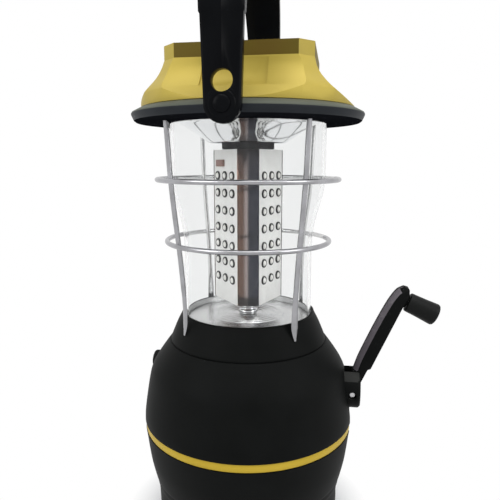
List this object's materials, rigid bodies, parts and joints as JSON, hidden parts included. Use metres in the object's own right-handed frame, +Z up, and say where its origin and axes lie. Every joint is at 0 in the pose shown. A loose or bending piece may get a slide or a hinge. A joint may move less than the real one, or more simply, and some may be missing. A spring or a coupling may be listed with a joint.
{
  "type": "hand crank lantern",
  "caption": "Camping lantern with a solar cap, swinging strap handle, caged clear chimney round an LED column, and a folding crank that drives a geared dynamo.",
  "frame": {"origin": "centre of the base, on the surface the lantern stands on", "axes": "+Z up, -Y is the front with one handle pivot, +X is the crank side"},
  "size_m": [0.1757, 0.1446, 0.3566],
  "materials": {
    "black_plastic": "satin moulded plastic",
    "handle_plastic": "semi-gloss moulded plastic",
    "gold_paint": "metallic gold paint on plastic",
    "gold_band": "metallic gold paint on plastic",
    "rim_plastic": "satin dark grey plastic",
    "chrome": "bright plating",
    "clear_plastic": "clear moulding",
    "led_board": "white board with clear LEDs",
    "solar_cell": "dark blue cell",
    "rubber": "matt rubber",
    "circuit": "green board",
    "steel": "plain steel",
    "nylon": "natural nylon",
    "cell_wrap": "plain green sleeve"
  },
  "bodies": {
    "lantern": {"cap_shell": "gold_paint", "cap_rim": "rim_plastic", "solar_window": "clear_plastic", "solar_panel": "solar_cell", "handle_pivot_front": "handle_plastic", "handle_pivot_back": "handle_plastic", "top_reflector": "chrome", "lamp_chimney": "clear_plastic", "guard_ring_upper": "chrome", "guard_ring_lower": "chrome", "guard_wire_1": "chrome", "guard_wire_2": "chrome", "guard_wire_3": "chrome", "guard_wire_4": "chrome", "led_column": "chrome", "column_cap": "rim_plastic", "led_board_1": "led_board", "led_board_2": "led_board", "led_board_3": "led_board", "center_post": "chrome", "bottom_reflector": "chrome", "neck_collar": "black_plastic", "upper_shell": "black_plastic", "stripe_ring": "gold_band", "lower_shell": "black_plastic", "base_cover": "black_plastic", "battery_door": "black_plastic", "rubber_foot_1": "rubber", "rubber_foot_2": "rubber", "rubber_foot_3": "rubber", "rubber_foot_4": "rubber", "dynamo_housing": "steel", "gearbox_frame": "rim_plastic", "battery_holder": "rim_plastic", "battery_1": "cell_wrap", "battery_2": "cell_wrap", "battery_3": "cell_wrap", "circuit_board": "circuit", "switch_module": "rim_plastic", "dc_jack": "rim_plastic"},
    "bail": {"handle": "handle_plastic"},
    "crank": {"crank_hub": "black_plastic", "crank_hinge_pin": "steel", "drive_gear": "nylon"},
    "arm": {"crank_arm": "black_plastic", "knob_screw": "steel"},
    "knob": {"crank_knob": "black_plastic"},
    "idler": {"idler_gear": "nylon"},
    "rotor": {"rotor_gear": "steel"},
    "button": {"power_button": "rubber"},
    "jack_flap": {"dc_jack_cover": "rubber"}
  },
  "joints": [
    {"name": "handle_swing", "type": "hinge", "parent": "lantern", "child": "bail", "pos_m": [0, 0, 0.2454], "axis": [0, 1, 0], "range_deg": [-90, 90]},
    {"name": "crank_spin", "type": "hinge", "parent": "lantern", "child": "crank", "pos_m": [0, 0, 0.0875], "axis": [1, 0, 0], "continuous": true},
    {"name": "crank_fold", "type": "hinge", "parent": "crank", "child": "arm", "pos_m": [0.063, 0, 0.0864], "axis": [0, 1, 0], "range_deg": [0, 155.5]},
    {"name": "knob_spin", "type": "hinge", "parent": "arm", "child": "knob", "pos_m": [0.08871, 0, 0.14282], "axis": [0.91, 0, -0.4147], "continuous": true},
    {"name": "idler_spin", "type": "hinge", "parent": "lantern", "child": "idler", "pos_m": [0, -0.02183, 0.06918], "axis": [1, 0, 0], "continuous": true},
    {"name": "rotor_spin", "type": "hinge", "parent": "lantern", "child": "rotor", "pos_m": [0, 0.00025, 0.05643], "axis": [1, 0, 0], "continuous": true},
    {"name": "button_press", "type": "slide", "parent": "lantern", "child": "button", "axis": [1, 0, 0], "range_m": [0, 0.0012], "stiffness_N_per_m": 400},
    {"name": "jack_flap_swing", "type": "hinge", "parent": "lantern", "child": "jack_flap", "pos_m": [0, 0.05488, 0.0105], "axis": [-1, 0, 0], "range_deg": [0, 100]}
  ],
  "couplings": [
    {"joint": "idler_spin", "follows": "crank_spin", "ratio": -2.8},
    {"joint": "rotor_spin", "follows": "crank_spin", "ratio": 6.72}
  ]
}
